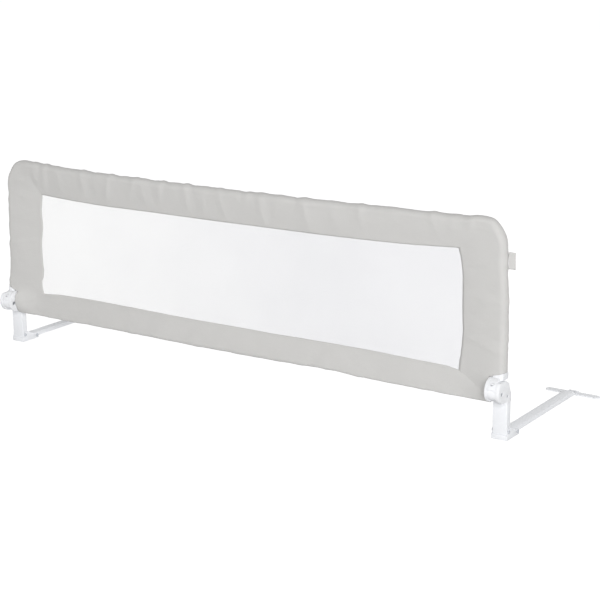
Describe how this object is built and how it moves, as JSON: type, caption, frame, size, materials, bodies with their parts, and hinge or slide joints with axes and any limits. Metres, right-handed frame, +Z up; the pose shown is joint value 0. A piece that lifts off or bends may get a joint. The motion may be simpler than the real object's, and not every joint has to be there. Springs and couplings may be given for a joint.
{
  "type": "folding bed guard rail",
  "caption": "Long padded fabric panel with a mesh window on two folding side hinges, with flat steel arms and cross strips that slide under a mattress.",
  "frame": {"origin": "middle of the bounding box at the floor", "axes": "+X along the rail to the side with the label tab, +Y towards the bed, +Z up"},
  "size_m": [1.615, 0.439, 0.5028],
  "materials": {
    "cover_fabric": "matte light grey polyester, lightly creased",
    "mesh": "fine white knitted netting",
    "painted_steel": "satin white powder coat",
    "white_plastic": "moulded white plastic, low sheen",
    "zinc": "bright zinc plate"
  },
  "bodies": {
    "right_support": {"right_foot_bracket": "painted_steel", "right_upright": "painted_steel", "right_upright_rivet": "zinc", "right_arm_rivet": "zinc", "right_hinge_base": "white_plastic", "right_hinge_cover": "white_plastic", "right_pivot_bolt": "zinc", "right_pivot_nut": "zinc", "right_clamp_bolt": "zinc", "right_clamp_nut": "zinc"},
    "right_arm": {"right_arm": "painted_steel", "right_crossbar": "painted_steel", "right_crossbar_rivet_inner": "zinc", "right_crossbar_rivet_outer": "zinc", "right_arm_spacer_inner": "white_plastic", "right_arm_spacer_outer": "white_plastic"},
    "right_button": {"right_release_button": "white_plastic", "right_lock_pin": "zinc"},
    "left_support": {"left_foot_bracket": "painted_steel", "left_upright": "painted_steel", "left_upright_rivet": "zinc", "left_arm_rivet": "zinc", "left_hinge_base": "white_plastic", "left_hinge_cover": "white_plastic", "left_pivot_bolt": "zinc", "left_pivot_nut": "zinc", "left_clamp_bolt": "zinc", "left_clamp_nut": "zinc"},
    "left_arm": {"left_arm": "painted_steel", "left_crossbar": "painted_steel", "left_crossbar_rivet_inner": "zinc", "left_crossbar_rivet_outer": "zinc", "left_arm_spacer_inner": "white_plastic", "left_arm_spacer_outer": "white_plastic"},
    "left_button": {"left_release_button": "white_plastic", "left_lock_pin": "zinc"},
    "panel": {"fabric_cover": "cover_fabric", "mesh_window": "mesh", "label_tab": "cover_fabric", "frame_joint_sleeve": "painted_steel", "bottom_joint_sleeve": "painted_steel", "right_hinge_knuckle": "white_plastic", "right_tube_screw": "zinc", "right_frame_tube": "painted_steel", "right_bottom_tube": "painted_steel", "right_button_spring": "zinc", "left_hinge_knuckle": "white_plastic", "left_tube_screw": "zinc", "left_frame_tube": "painted_steel", "left_bottom_tube": "painted_steel", "left_button_spring": "zinc"}
  },
  "joints": [
    {"name": "panel_fold", "type": "hinge", "parent": "right_support", "child": "panel", "pos_m": [0, -0.2035, 0.116], "axis": [1, 0, 0], "range_deg": [0, 180]},
    {"name": "left_hinge_turn", "type": "hinge", "parent": "panel", "child": "left_support", "pos_m": [0, -0.2035, 0.116], "axis": [1, 0, 0], "range_deg": [-180, 0]},
    {"name": "right_arm_fold", "type": "hinge", "parent": "right_support", "child": "right_arm", "pos_m": [0, -0.1245, 0.0083], "axis": [1, 0, 0], "range_deg": [0, 90]},
    {"name": "right_button_press", "type": "slide", "parent": "panel", "child": "right_button", "axis": [0, 0.309, -0.9511], "range_m": [0, 0.0025], "stiffness_N_per_m": 400, "springref_m": -0.002, "deforming": ["right_button_spring"]},
    {"name": "left_arm_fold", "type": "hinge", "parent": "left_support", "child": "left_arm", "pos_m": [0, -0.1245, 0.0083], "axis": [1, 0, 0], "range_deg": [0, 90]},
    {"name": "left_button_press", "type": "slide", "parent": "panel", "child": "left_button", "axis": [0, 0.309, -0.9511], "range_m": [0, 0.0025], "stiffness_N_per_m": 400, "springref_m": -0.002, "deforming": ["left_button_spring"]}
  ],
  "couplings": [
    {"joint": "left_hinge_turn", "follows": "panel_fold", "ratio": -1}
  ]
}
